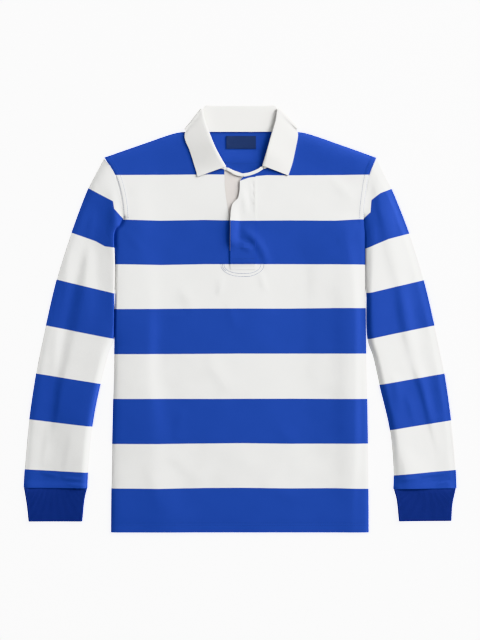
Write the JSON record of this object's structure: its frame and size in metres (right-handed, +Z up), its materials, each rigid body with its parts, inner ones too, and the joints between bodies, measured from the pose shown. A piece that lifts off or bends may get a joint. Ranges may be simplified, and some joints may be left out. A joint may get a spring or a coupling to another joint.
{
  "type": "long-sleeve polo shirt",
  "caption": "Striped long-sleeve polo shirt laid flat, front up: twill collar, concealed placket, rib cuffs and straight hem.",
  "frame": {"origin": "middle of the bounding box, on the surface that the shirt lies on", "axes": "+X towards the wearer's left sleeve, +Y towards the collar, +Z up, out of the front"},
  "size_m": [0.7806, 0.7668, 0.0106],
  "materials": {
    "jersey": "heavy cotton jersey in wide cobalt blue and white hoops",
    "rib": "blue rib knit",
    "twill": "white cotton twill",
    "label": "woven navy tape"
  },
  "bodies": {
    "root": {"back": "jersey", "front": "jersey", "sleeve_right": "jersey", "sleeve_left": "jersey", "cuff_right": "rib", "cuff_left": "rib", "collar": "twill", "neck_tape_right": "twill", "neck_tape_left": "twill", "under_placket": "twill", "fly_placket": "jersey", "neck_label": "label"}
  },
  "joints": []
}
